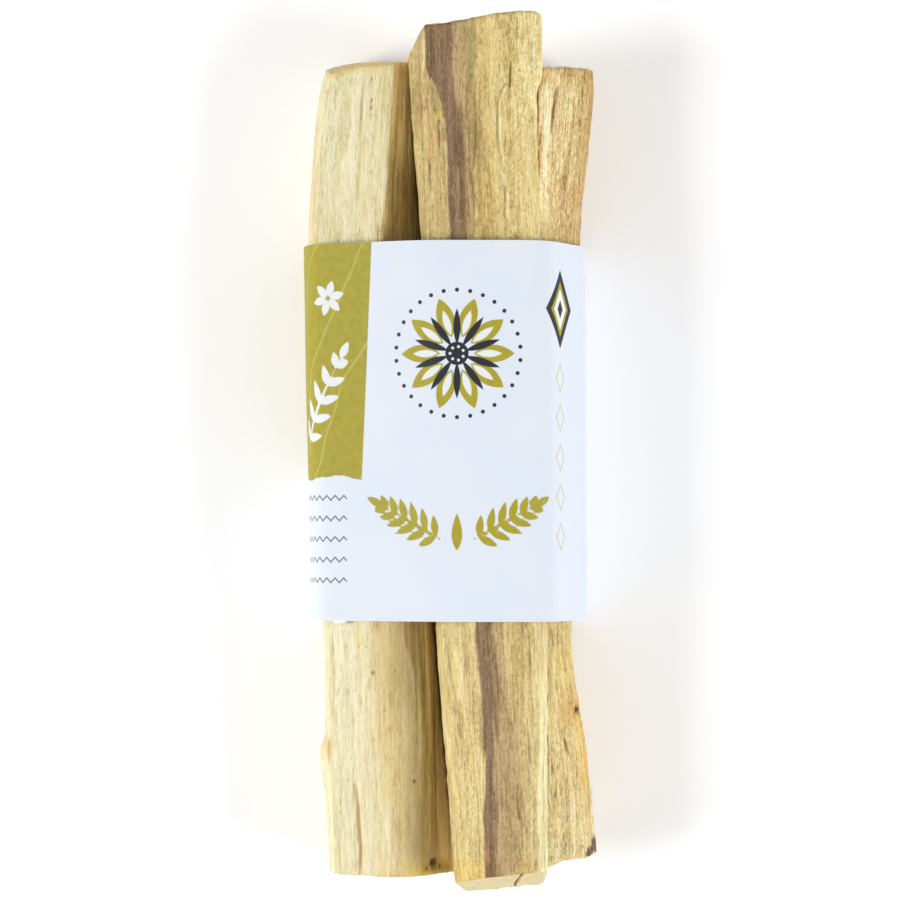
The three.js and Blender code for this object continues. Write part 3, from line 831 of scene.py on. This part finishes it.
def front_stick():
    """The stick in front, whose top face has a band of dark heartwood."""
    stick = StickSurface(FRONT_EDGES, FRONT_WAVES, 23, 0.32, (218, 197, 137))
    ends = [(-4.4, 0.55), (-3.3, 0.65), (-2.5, 0.4), (-1.2, 0.3), (2, 0.5), (5, 0.8)]
    stick.lengthen(ends + [(8, 0.8), (9.8, 0.55), (10.6, 0.1)])
    stick.split(0.9)
    x, y, _, upper, lower = stick.places()
    stain, peaks = stick.stain, stick.peaks
    streak = peaks(14, 0.4)
    stick.grit = 0.66 + 0.14 * rise(y, 34, 42) * rise(x, 3.0, 6.0)
    stick.grit -= 0.25 * rise(x, 3.0, -1.0) * lower
    stain(0.35 * streak, 190, 166, 100)
    stain(0.3 * peaks(18, 0.6), 236, 218, 156)

    # The heartwood: its left border, the right border of its dark core, and that of the
    # paler zone beside the core.
    border = [
        (4.04, -50), (3.92, -43.9), (3.69, -41.8), (4.04, -39.9), (4.15, -38), (4.15, -34.7),
        (3.8, -34.4), (3.75, -31), (3.58, -27.6), (3.1, -24), (2.92, -20), (0.0, 24.7),
        (-0.25, 28.6), (-0.35, 34.5), (-0.6, 37.4), (-1.1, 40.2), (-1.7, 42.3), (-2.8, 44.0),
        (-3.05, 50),
    ]
    core = [
        (5.0, -50), (5.3, -46), (5.2, -40), (5.1, -33), (5.4, -28), (4.9, -20), (1.5, 25),
        (1.6, 28), (1.5, 34), (1.35, 36.7), (1.1, 40.2), (0.45, 42.6), (0.2, 44.4), (0.0, 50),
    ]
    zone = [
        (8.0, -50), (8.4, -44), (8.0, -38), (7.4, -32), (6.4, -27), (5.8, -20), (2.1, 25),
        (2.4, 30), (2.7, 40), (2.2, 44), (1.9, 50),
    ]
    inside = stick.right_of(border, 0.05)
    past_core, past_zone = stick.right_of(core, 0.22), stick.right_of(zone, 0.3)
    heart = rise(inside, -0.08, 0.16) * rise(stick.up, 0.4, 0.9)
    stain(heart * rise(past_zone, 1.2, -0.8), 193, 168, 121)
    dark = heart * rise(past_core, 0.5, -0.4)
    stain(dark, 137, 110, 81)
    stain(0.45 * dark * rise(inside, 1.7, 0.5), 118, 92, 69)
    stain(0.35 * dark * peaks(8, 0.3), 170, 143, 108)
    stain(0.55 * dark * rise(-y, 40, 44) * rise(inside, 0.6, 1.4), 172, 142, 106)
    fringe = rise(past_zone, -0.5, 0.2) * rise(past_zone, 1.0, 0.4)
    stain(0.6 * heart * fringe * upper, 172, 154, 94)

    # Above the band: the sapwood on both sides of the heartwood.
    stain(0.5 * rise(past_zone, 0.3, 1.2) * rise(x, 7.0, 5.0) * upper, 222, 196, 125)
    # Painted shade on the upper left bevel, over its own grey-brown tone.
    facet = rise(-x, 2.9, 3.4) * rise(-x, 4.5, 3.9)
    stain(0.85 * facet * rise(y, 34, 40), 192, 167, 115)
    stain(0.85 * rise(x, 7.2, 8.6) * rise(y, 36, 40), 248, 234, 178)
    stain(0.6 * rise(x, 4.0, 7.5) * rise(y, 20, 24), 236, 217, 152)
    strip = rise(inside, 0.1, -0.3) * rise(x, -3.4, -2.7)
    stain(0.6 * strip * upper, 198, 173, 114)
    olive = rise(x, -2.6, -1.8) * rise(inside, 0.1, -0.4) * rise(y, 37, 40)
    stain(0.7 * olive * (1 + 0.4 * stick.grain.field(1.5, 0.5)), 182, 162, 104)
    stick.blots((0.9, (222, 172, 112), -2.1, 35.5, 0.4, 1.6))
    stick.strokes(
        (0.7, 0.12, (160, 136, 88), [(-3.62, 47.0), (-3.5, 37.0)]),
        (0.8, 0.16, (244, 228, 176), [(-3.05, 48.6), (-3.1, 42.6)]),
        (0.8, 0.12, (196, 146, 96), [(-2.85, 45.0), (-2.8, 41.0), (-2.4, 38.0)]),
    )

    # Two raised splinters with painted highlights, and two steps of torn wood, each a slit with painted
    # shade and a raised edge with a painted highlight.
    for path in ([(6.5, 48.0), (6.75, 44.8), (6.5, 42.0)], [(7.25, 47.6), (7.5, 45.0), (7.3, 43.2)]):
        stick.slits((0.2, -0.2, 0.0, path))
        stick.strokes((1.0, 0.26, (246, 228, 156), path))
    for path in (
        [(6.72, 43.0), (5.75, 41.4), (5.5, 40.0), (5.5, 36.0), (6.05, 33.0), (6.6, 32.0)],
        [(5.4, 32.4), (6.4, 30.5), (6.3, 27.4), (6.8, 25.0)],
    ):
        right = [(px + 0.22, py) for px, py in path]
        stick.slits((0.13, 0.12, 0.4, path), (0.16, -0.12, 0.0, right))
        stick.strokes((0.9, 0.25, (258, 242, 176), right), (0.6, 0.16, (150, 122, 70), path))

    # Grey-green spots near the corner, and a small knot in a ring of dots.
    for place in ((8.9, 48.5), (9.6, 47.1), (9.3, 45.2), (8.4, 43.0), (9.5, 38.4), (8.6, 40.2)):
        stick.blots((0.75, (186, 182, 128), *place, 0.28, 0.4))
    stick.blots((0.9, (228, 214, 112), -1.29, 38.95, 0.42, 0.5))
    for place in ((-0.75, 38.9), (-1.25, 38.1), (-0.95, 39.7), (-1.75, 39.5)):
        stick.blots((0.9, (142, 128, 70), *place, 0.14, 0.3))
    stick.pit(-1.29, 38.9, 0.3, -0.14, 0.0)
    stick.pit(2.94, 40.3, 0.17, 0.16, 0.6)
    stick.pit(-2.96, 39.7, 0.17, 0.12, 0.9)

    # Below the band: the facet on the left with a smooth oval on it, and the tinged foot.
    oval = (1.7, -27.6, 1.1, 1.8)
    stick.blots((0.7, (206, 192, 112), 0.2, -29.2, 0.8, 2.2), (1.0, (222, 200, 148), *oval))
    stick.grit -= 0.6 * stick.spot(*oval)
    facet = rise(inside, 0.0, -0.3) * lower
    stain(0.4 * facet, 240, 222, 162)
    stain(0.4 * facet * rise(-y, 33, 38), 232, 214, 156)
    stain(0.4 * rise(past_zone, 0.0, 1.0) * rise(-y, 28, 36), 238, 218, 166)
    stain(0.75 * facet * rise(-y, 45.5, 49.0), 232, 202, 112)
    strip = rise(inside, -0.45, -0.3) * rise(inside, 0.0, -0.1)
    stain(0.7 * strip * rise(-y, 27, 29) * rise(y, -34.6, -34.2), 182, 158, 104)
    foot = heart * rise(-y, 45.5, 49.0)
    stain(0.7 * foot * rise(x, 7.0, 5.0), 142, 102, 62)
    stain(0.7 * foot * rise(x, 5.5, 9.0), 206, 168, 98)
    stick.blots((0.8, (196, 144, 98), 4.1, -46.5, 0.25, 1.0))
    # The right bevel, smoother and paler: partly its own pale tone and partly painted light.
    bevel = stick.right_of([(10.0, -50), (10.2, -20)], 0.03)
    bevel = rise(bevel, -0.12, 0.12) * lower
    stain(bevel, 231, 223, 171)
    stick.grit *= 1 - 0.85 * bevel
    stain(0.6 * rise(x, 9.2, 10.2) * lower * rise(y, -32, -24), 234, 216, 160)

    stick.slits(
        (0.14, 0.14, 0.75, [(3.0, 38.8), (2.96, 35.5), (2.8, 33.0)]),
        (0.12, 0.1, 0.5, [(2.6, 32.0), (2.7, 28.0)]),
        (0.12, 0.25, 0.5, [(7.0, 45.1), (6.95, 42.5), (6.85, 41.2)]),
        (0.13, 0.2, 0.45, [(7.8, 50.2), (7.65, 47.9)]),
        (0.18, 0.14, 0.3, [(5.4, 50.9), (5.9, 48.9)]),
        (0.16, 0.14, 0.3, [(8.95, -31.9), (9.1, -34.5), (9.25, -38.0)]),
        (0.12, 0.1, 0.3, [(9.1, -22.6), (9.3, -25.4)]),
        (0.13, 0.16, 0.25, [(7.75, -38.4), (7.7, -40.3), (8.1, -42.3), (8.7, -43.4), (9.15, -44.4)]),
        (0.2, -0.2, 0.0, [(8.35, -38.9), (8.3, -41.2), (8.9, -42.6)]),
        (0.16, -0.16, 0.0, [(9.1, -37.8), (9.3, -40.4)]),
        (0.2, 0.2, 0.35, [(3.9, -33.9), (4.05, -35.1)]),
    )
    tones = [paint(174, 145, 87), paint(220, 196, 132), paint(243, 224, 163)]
    material = wood("streaked_wood", *tones, (3.5, -26.0))
    crack = [(8.35, 19.0), (8.0, 15.5), (7.5, 10.5)]
    piece = stick_piece("front_stick", "stick_front", stick, 24, 1.0, material, crack)


def right_stick():
    """The golden stick at the back on the right, torn more than the others."""
    stick = StickSurface(RIGHT_EDGES, RIGHT_WAVES, 37, 0.35, (222, 199, 138))
    stick.lengthen([(11, 0.1), (12, 0.12), (14, 0.35), (16.5, 0.4)])
    stick.lengthen([(12, -0.1), (13.2, -0.3), (15, -0.25), (17, 0.25)], -1)
    stick.split(0.95)
    x, y, from_end, upper, lower = stick.places()
    stain, peaks = stick.stain, stick.peaks
    from_edge = np.interp(y, [-48, -36, -20, 24, 42, 46], [17.2, 15.8, 14.2, 15.2, 16.8, 16.8]) - x
    stick.grit = 0.9 + 0.35 * upper * rise(from_edge, 3.5, 1.0)
    stain(0.5 * peaks(10, 0.35), 238, 218, 160)
    lines = peaks(5, 0.24, 0.2, 1.1)
    stain(0.2 * lines, 196, 164, 100)
    stain(0.6 * upper * rise(from_edge, 0.8, 2.0), 252, 230, 172)

    # Above the band: the pale chamfer, and painted shade on the wall by the front stick.
    chamfer = stick.right_of([(10.85, 24), (10.85, 46)], 0.12)
    chamfer = rise(chamfer, -0.12, 0.1) * rise(chamfer, 0.95, 0.45)
    chamfer = chamfer * rise(y, 29, 36) * rise(-y, -43.6, -42.6)
    stain(0.85 * chamfer, 243, 232, 188)
    stick.grit *= 1 - 0.5 * chamfer
    # Painted shade on the wall that the front stick overhangs.
    wall = stick.right_of([(10.42, 24), (10.36, 41.5), (10.9, 43.6)], 0.03)
    stain(0.95 * rise(wall, 0.16, 0.0) * rise(y, 30, 34), 192, 122, 66)
    crack = [(12.53, 42.6), (12.1, 39.6), (11.8, 37.4)]
    stick.strokes((1.0, 0.16, (168, 96, 56), crack))
    stick.blots((0.9, (176, 110, 66), 12.2, 41.6, 0.14, 0.7))

    # The upper rim, and the outer edge: darker and more orange towards its side, partly its own tone and
    # partly painted shade, with brown lines in its tan.
    rim = rise(from_end, 2.4, 0.5) * upper
    stain(0.75 * rim * (1 + 0.3 * stick.grain.field(1, 0.5)), 222, 184, 112)
    stain(0.35 * rise(y, 36, 42) * rise(from_edge, 0.5, 1.5), 240, 218, 160)
    # Painted shade on the side facet, with an orange tone.
    stain(0.75 * np.exp(-((from_edge / 0.45) ** 2)) * upper, 200, 154, 86)
    stain(0.6 * rise(from_edge, 2.6, 1.1) * upper, 208, 178, 112)
    stain(0.55 * lines * upper * rise(from_edge, 3.8, 2.2), 192, 136, 74)
    stick.blots((0.9, (226, 156, 92), 14.9, 30.3, 0.3, 0.6))
    stain(0.6 * rise(y, 30, 25) * upper, 206, 178, 118)

    # Below the band: golden patches, the knot on the edge, and dark specks by the front stick.
    stick.blots(
        (0.55, (222, 200, 118), 12.9, -25.5, 1.6, 3.5),
        (0.8, (214, 174, 98), 14.0, -30.2, 1.5, 2.2),
    )
    golden = rise(from_edge, 1.2, 0.2) * rise(-y, 27, 30) * rise(y, -42, -37)
    stain(0.7 * golden, 230, 188, 104)
    stain(0.6 * rise(x, 12.5, 12.0) * lower * rise(y, -40, -35), 212, 190, 128)
    stick.blots((1.5, (64, 44, 22), 14.95, -30.25, 0.26, 0.36))
    specks = peaks(0.9, 0.24, 0.6, 1.5) * lower
    stain(specks * rise(x, 12.9, 12.2) * rise(-y, 33, 37), 118, 108, 68)
    stick.blots(
        (0.6, (240, 210, 196), 14.2, -41.5, 0.4, 1.1),
        (0.6, (206, 196, 150), 12.9, -46.2, 1.0, 1.2),
    )
    stain(0.5 * rise(-y, 41, 44) * lower, 232, 214, 160)
    frayed = y + 0.25 * stick.grain.field(1.2, 0.5)
    burnt = distance_to_path(x, frayed, [(17.5, -45.5), (17.2, -46.4), (16.3, -47.2)])
    stain(rise(burnt, 0.62, 0.3), 104, 80, 62)

    stick.slits(
        (0.13, 0.28, 0.55, crack),
        (0.14, 0.2, 0.9, [(13.25, -33.3), (13.6, -34.8), (14.15, -36.0)]),
        (0.13, 0.14, 0.7, [(11.75, -20.5), (12.0, -22.2), (11.8, -23.4)]),
        (0.1, 0.1, 0.5, [(12.5, -20.3), (12.5, -22.8)]),
    )
    stick.pit(14.85, -30.25, 0.3, 0.22)
    stick.pit(12.62, -29.15, 0.16, 0.12)
    stick.pit(15.5, -46.1, 0.22, 0.1, 0.7, 0.06)
    tones = [paint(182, 147, 84), paint(223, 197, 132), paint(246, 228, 170)]
    material = wood("golden_wood", *tones, (-12.0, -14.0))
    piece = stick_piece("right_stick", "stick_right", stick, 38, 1.3, material)


def corner_arc(before, corner, after, radius, steps):
    """The arc that rounds a corner between two straight spans, from where it leaves the
    first of them to where it meets the second."""
    back = (before - corner) / np.linalg.norm(before - corner)
    ahead = (after - corner) / np.linalg.norm(after - corner)
    turn = math.pi - math.acos(float(back @ ahead))
    inward = (back + ahead) / np.linalg.norm(back + ahead)
    start = corner + back * radius * math.tan(turn / 2)
    centre = corner + inward * radius / math.cos(turn / 2)
    angles = turn * np.arange(steps + 1) / steps
    from_centre = start - centre
    turned_x = np.cos(angles) * from_centre[0] - np.sin(angles) * from_centre[1]
    turned_z = np.sin(angles) * from_centre[0] + np.cos(angles) * from_centre[1]
    return centre + np.stack([turned_x, turned_z], -1)


def strip_path(rim):
    """The outside of the paper at one rim, from its inner end on the underside, once round,
    to the outer end, which laps over the inner one. The rim is 0 for the upper one and 1 for
    the lower one."""
    corners = [np.array(corner[rim]) for corner in BAND_CORNERS]
    lift = PAPER + LAP_GLUE
    path = [np.array([[LAP_FROM, lift]])]

    def straight(end, steps):
        """Goes on to a point in even steps."""
        start = path[-1][-1]
        share = np.linspace(0, 1, steps + 1)[1:, None]
        path.append(start + share * (np.array(end) - start))

    straight([LAP_TO, lift], 10)
    straight([LAP_TO + LAP_RUN_OUT, 0.0], 9)
    for k, (_, _, radius, steps_before, steps_round) in enumerate(BAND_CORNERS):
        following = corners[(k + 1) % len(corners)]
        arc = corner_arc(corners[k - 1], corners[k], following, radius, steps_round)
        straight(arc[0], steps_before)
        path.append(arc[1:])
    straight([LAP_FROM, 0.0], 16)
    straight([LAP_TO, 0.0], 10)
    return np.concatenate(path)


def leaf(u, v, base, direction, length, half_width):
    """The signed distance to a leaf, below 0 inside it: how far across the leaf a point is,
    less the leaf's half width there, which is a sine from the base to the tip."""
    way = np.array(direction) / np.hypot(*direction)
    along = ((u - base[0]) * way[0] + (v - base[1]) * way[1]) / length
    across = np.abs((u - base[0]) * way[1] - (v - base[1]) * way[0])
    inside = np.clip(along, 0, 1)
    shape = across - half_width * np.sin(math.pi * inside**0.8)
    beyond = np.abs(along - inside) * length
    return np.where(beyond > 0, np.hypot(np.maximum(shape, 0), beyond), shape)


def spray(u, v, foot, tip, pairs, longest, half_width):
    """The signed distance to a spray of paired leaves on a straight stem, with one leaf at
    its tip."""
    foot, tip = np.array(foot), np.array(tip)
    stem = tip - foot
    total = leaf(u, v, foot, stem, np.hypot(*stem) * 1.02, 0.2)
    for k in range(pairs):
        share = (k + 0.9) / (pairs + 0.4)
        base = foot + share * stem
        length = longest * math.sin(math.pi * (0.28 + 0.56 * share))
        for hand in (-1, 1):
            angle = hand * math.radians(58 - 22 * share)
            way = (
                stem[0] * math.cos(angle) - stem[1] * math.sin(angle),
                stem[0] * math.sin(angle) + stem[1] * math.cos(angle),
            )
            total = np.minimum(total, leaf(u, v, base, way, length, half_width))
    return np.minimum(total, leaf(u, v, tip, stem, longest * 0.75, half_width))


def band_piece():
    """The paper band. Every row is the strip's path at that height, straight from rim to
    rim, and the inside is the outside moved in by the paper's thickness."""
    lower, upper = strip_path(1), strip_path(0)
    at_rim = np.array([0, 0.03, 0.12])
    between = np.linspace(0.4, BAND_LENGTH - 0.4, BAND_ROWS)
    v = np.concatenate([at_rim, between, BAND_LENGTH - at_rim[::-1]])[:, None]
    path = lower + v[..., None] / BAND_LENGTH * (upper - lower)
    steps = np.linalg.norm(np.diff(path, axis=1), axis=-1)
    travelled = np.concatenate([0 * v, np.cumsum(steps, axis=1)], axis=1)
    on_top = lower[:, 1] > 15
    crossing = [np.interp(0.0, -row[on_top, 0], way[on_top]) for row, way in zip(path, travelled)]
    u = np.array(crossing)[:, None] - travelled
    padded = np.pad(path, ((0, 0), (1, 1), (0, 0)), "edge")
    along = padded[:, 2:] - padded[:, :-2]
    along /= np.linalg.norm(along, axis=-1, keepdims=True)
    inward = np.stack([-along[..., 1], along[..., 0]], -1)
    tab = rise(u, -14.6, -14.4) * rise(-u, 13.0, 13.2) * rise(v, 0.5, 0.0)
    height = v - 0.3 * tab
    wave = 0.03 * ripple(u, height * 0.6, 5, 7.0, 40.0) * rise(path[..., 1], 1.5, 5.0)
    outside = path - wave[..., None] * inward

    def in_space(section):
        return np.stack([section[..., 0], height + BAND_LOWER, section[..., 1]], -1)

    def both_sides(outer, inner):
        """The outside's values and then the inside's, in the order of the band's rings."""
        return np.concatenate([outer, inner[::-1]]).swapaxes(0, 1)

    def on_outside(distance):
        """A print's signed distances, which are far from any print on the inside."""
        return both_sides(distance, np.full(u.shape, 5.0))

    ragged = 0.18 * ripple(u, 0 * u, 8, 0.5, 6.0)
    right = np.interp(height, [PANEL_FOOT, BAND_LENGTH], [-10.9, -9.6])
    panel = np.maximum(u - right, PANEL_FOOT + ragged - height)
    panel = np.maximum(panel, -34.0 - u)
    garland = leaf(u, height, (PRINT_MIDDLE, GARLAND_HEIGHT - 1.0), (0, 1), 4.4, 0.62)
    for hand in (-1, 1):
        foot = (PRINT_MIDDLE + hand * 1.4, GARLAND_HEIGHT)
        tip = (PRINT_MIDDLE + hand * 9.2, GARLAND_HEIGHT + 4.2)
        garland = np.minimum(garland, spray(u, height, foot, tip, 6, 2.9, 0.46))
    sprig = spray(u, height, SPRIG_FOOT, SPRIG_TIP, 5, 3.0, 0.5)
    rim = (height < 0.02) | (height > BAND_LENGTH - 0.02)
    sheet = np.stack([u, height, 0 * u], -1)
    attributes = {
        "panel": on_outside(panel),
        "spray": on_outside(garland),
        "sprig": on_outside(sprig),
        "printed": both_sides(np.ones(u.shape), np.zeros(u.shape)),
        "edge": np.concatenate([rim, rim]).T,
        "sheet": both_sides(sheet, sheet),
    }
    rings = both_sides(in_space(outside), in_space(outside + PAPER * inward))
    piece = closed_surface("printed_band", rings, attributes)
    piece.data.materials.append(printed_paper())
    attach(piece, "root")
    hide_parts("paper_band")


def printed_paper():
    """Smooth white paper with an olive and charcoal print. The places of small motifs are
    worked out from the way along the sheet and up it, and the leaves from their distances."""
    shader = Shader("printed_paper", 0.55, 0.2)
    plus, minus, times, mix = shader.plus, shader.minus, shader.times, shader.mix
    place = shader.attribute("sheet", "Vector")
    parts = shader.tree.nodes.new("ShaderNodeSeparateXYZ")
    shader.put(parts.inputs[0], place)
    u, v = parts.outputs[0], parts.outputs[1]
    soft = 0.06

    def within(distance):
        return shader.step(distance, soft, -soft)

    def size(value):
        return shader.math("ABSOLUTE", value)

    def length(first, second):
        return shader.math("SQRT", plus(times(first, first), times(second, second)))

    def lozenge(middle_u, middle_v, half_u, half_v):
        across = shader.math("DIVIDE", size(middle_u), half_u)
        return plus(across, shader.math("DIVIDE", size(middle_v), half_v))

    def around(middle):
        """The distance from a middle, and a function that gives the way across one of a
        number of equal sectors round it."""
        du, dv = minus(u, middle[0]), minus(v, middle[1])
        radius = length(du, dv)
        angle = shader.math("ARCTAN2", dv, du)

        def folded(count, phase):
            turn = plus(times(angle, count / (2 * math.pi)), count + phase)
            part = minus(shader.math("FRACT", turn), 0.5)
            return times(times(part, 2 * math.pi / count), radius)

        return radius, folded

    def petals(radius, across, middle, half_length, half_width):
        """The signed distance to a ring of petals: an arc of width over the way out."""
        reach = shader.math("DIVIDE", minus(radius, middle), half_length)
        return minus(size(across), times(minus(1.0, times(reach, reach)), half_width))

    def dots(radius, across, middle, dot):
        """The signed distance to a ring of round dots."""
        return minus(length(across, minus(radius, middle)), dot)

    # The white sheet, slightly uneven, and painted shade where it turns down on the right.
    pale = paint(236, 240, 240)
    olive = paint(172, 160, 46)
    dark = paint(48, 50, 57)
    cloudy = shader.noise(place, (0.12, 0.1, 0.1))
    colour = mix(shader.step(cloudy, 0.35, 0.65), paint(227, 235, 247), paint(231, 237, 245))
    # Painted shade on the side that turns down on the right.
    colour = mix(shader.step(u, 9.0, 14.0), colour, paint(222, 229, 240))

    # The olive panel with faint wandering lines, a sprig and a flower of six petals.
    speckle = shader.noise(place, (1.2, 1.2, 1.0), 3.0)
    panel_tone = shader.ramp(speckle, [(0.35, paint(168, 157, 48)), (0.65, paint(178, 166, 58))])
    bent = shader.noise(place, (0.09, 0.09, 0.1), 1.0)
    slanted = plus(plus(times(u, 0.9), times(v, -0.42)), times(bent, 5.0))
    lines = size(shader.math("SINE", times(slanted, 0.62)))
    lines = times(shader.step(lines, 0.12, 0.05), 0.25)
    panel_tone = mix(lines, panel_tone, linear(214, 203, 124))
    colour = mix(within(shader.attribute("panel")), colour, panel_tone)
    colour = mix(within(shader.attribute("sprig")), colour, pale)
    radius, folded = around(FLOWER_PLACE)
    colour = mix(within(petals(radius, folded(6, 0.25), 1.15, 0.95, 0.5)), colour, pale)

    # The garland, and the rosette: its ring of beads, three rings of petals, and the eye.
    spray_tone = shader.ramp(speckle, [(0.3, olive), (0.7, paint(180, 168, 56))])
    colour = mix(within(shader.attribute("spray")), colour, spray_tone)
    radius, folded = around((PRINT_MIDDLE, ROSETTE_HEIGHT))
    colour = mix(within(dots(radius, folded(30, 0.0), 7.35, 0.24)), colour, dark)
    for phase, middle, half_length, half_width, tone in (
        (0.5, 4.3, 2.35, 1.02, spray_tone),
        (0.0, 3.1, 2.1, 0.42, dark),
        (0.5, 3.7, 1.5, 0.42, pale),
    ):
        shape = petals(radius, folded(10, phase), middle, half_length, half_width)
        colour = mix(within(shape), colour, tone)
    colour = mix(within(minus(radius, 1.35)), colour, dark)
    colour = mix(within(dots(radius, folded(7, 0.0), 0.8, 0.16)), colour, pale)

    # Five zigzag lines on the left, under the panel.
    zigzag = plus(v, shader.math("PINGPONG", u, 0.55))
    zigzag = shader.math("PINGPONG", minus(zigzag, 2.6), 1.2)
    block = shader.math("MAXIMUM", minus(u, -12.8), minus(size(minus(v, 9.4)), 5.4))
    block = shader.math("MAXIMUM", block, minus(-22.5, u))
    zigzag = times(within(minus(zigzag, 0.12)), within(block))
    colour = mix(times(zigzag, 0.8), colour, dark)

    # A chain of pale lozenges on the right, and a dark one above it.
    from_chain = minus(u, CHAIN_MIDDLE)
    chain = lozenge(from_chain, shader.math("PINGPONG", minus(v, 5.2), 2.3), 1.2, 1.8)
    hoop = within(minus(size(minus(chain, 0.85)), 0.1))
    hoop = times(hoop, within(minus(size(minus(v, 19.0)), 11.5)))
    colour = mix(times(hoop, 0.8), colour, paint(196, 190, 100))
    jewel = lozenge(from_chain, minus(v, DARK_LOZENGE_HEIGHT), 2.9, 4.6)
    for limit, tone in ((1.0, dark), (0.7, olive), (0.52, pale), (0.24, dark)):
        colour = mix(shader.step(jewel, limit + 0.02, limit - 0.02), colour, tone)

    # The unprinted inside, the cut rims, whiter with their own white core and a painted highlight, and the
    # paper's fibres.
    colour = mix(minus(1.0, shader.attribute("printed")), colour, paint(236, 239, 242))
    colour = mix(shader.attribute("edge"), colour, paint(244, 247, 250))
    shader.set("Base Color", colour)
    shader.bump(shader.noise(place, (3.0, 3.0, 3.0), 3.0), 0.000012)
    return shader.material


def add_floor():
    """The pale table under the bundle."""
    shader = Shader("floor_white", 0.9, 0.1)
    shader.set("Base Color", (0.98, 0.98, 0.985))
    half, depth = 3000.0, -0.05
    corners = [[-half, -half, depth], [half, -half, depth], [half, half, depth], [-half, half, depth]]
    floor = make_mesh("floor", np.array(corners), np.array([[0, 1, 2, 3]]), np.zeros((0, 3), int), {})
    floor.data.materials.append(shader.material)


def add_light(name, place, power):
    """A square soft light that faces the bundle's middle. The place is in metres."""
    lamp = bpy.data.lights.new(name, "AREA")
    lamp.size = LIGHT_WIDTH
    lamp.energy = power
    light = bpy.data.objects.new(name, lamp)
    light.location = place
    towards = Vector((0, 0, 0.01)) - Vector(place)
    light.rotation_euler = towards.to_track_quat("-Z", "Y").to_euler()
    bpy.context.scene.collection.objects.link(light)


def add_studio():
    """Soft light from the left and from the right, in pale surroundings."""
    world = bpy.data.worlds.new("surroundings")
    world.use_nodes = True
    background = world.node_tree.nodes["Background"]
    background.inputs["Color"].default_value = (1.0, 1.0, 1.0, 1.0)
    background.inputs["Strength"].default_value = SURROUNDINGS
    bpy.context.scene.world = world
    add_light("left_light", *LEFT_LIGHT)
    add_light("right_light", *RIGHT_LIGHT)
    bpy.context.scene.view_settings.view_transform = "Standard"


def add_camera():
    """The camera above the bundle, as far off as the photograph's was."""
    lens = bpy.data.cameras.new("camera")
    lens.sensor_width = SENSOR_WIDTH
    lens.lens = FOCAL_PIXELS / IMAGE_WIDTH * SENSOR_WIDTH
    lens.clip_start, lens.clip_end = 0.01, 10.0
    camera = bpy.data.objects.new("camera", lens)
    place = (np.array(CAMERA_PLACE) + CENTRE_SHIFT) * MM
    target = (np.array(CAMERA_TARGET) + CENTRE_SHIFT) * MM
    camera.location = Vector(place)
    tilt = math.atan2(target[1] - place[1], place[2] - target[2])
    camera.rotation_euler = (tilt, 0.0, 0.0)
    bpy.context.scene.collection.objects.link(camera)
    bpy.context.scene.camera = camera


def centre_shift():
    """How far the frame's origin lies from this script's: the band's box in the frame less
    the band's box here."""
    low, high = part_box("paper_band")
    across = strip_path(0)[:, 0]
    shift_x = (low.x + high.x) / 2 / MM - (across.min() + across.max()) / 2
    return np.array([shift_x, low.y / MM - BAND_LOWER, 0.0])


CENTRE_SHIFT = centre_shift()
left_stick()
front_stick()
right_stick()
band_piece()
add_floor()
add_studio()
add_camera()
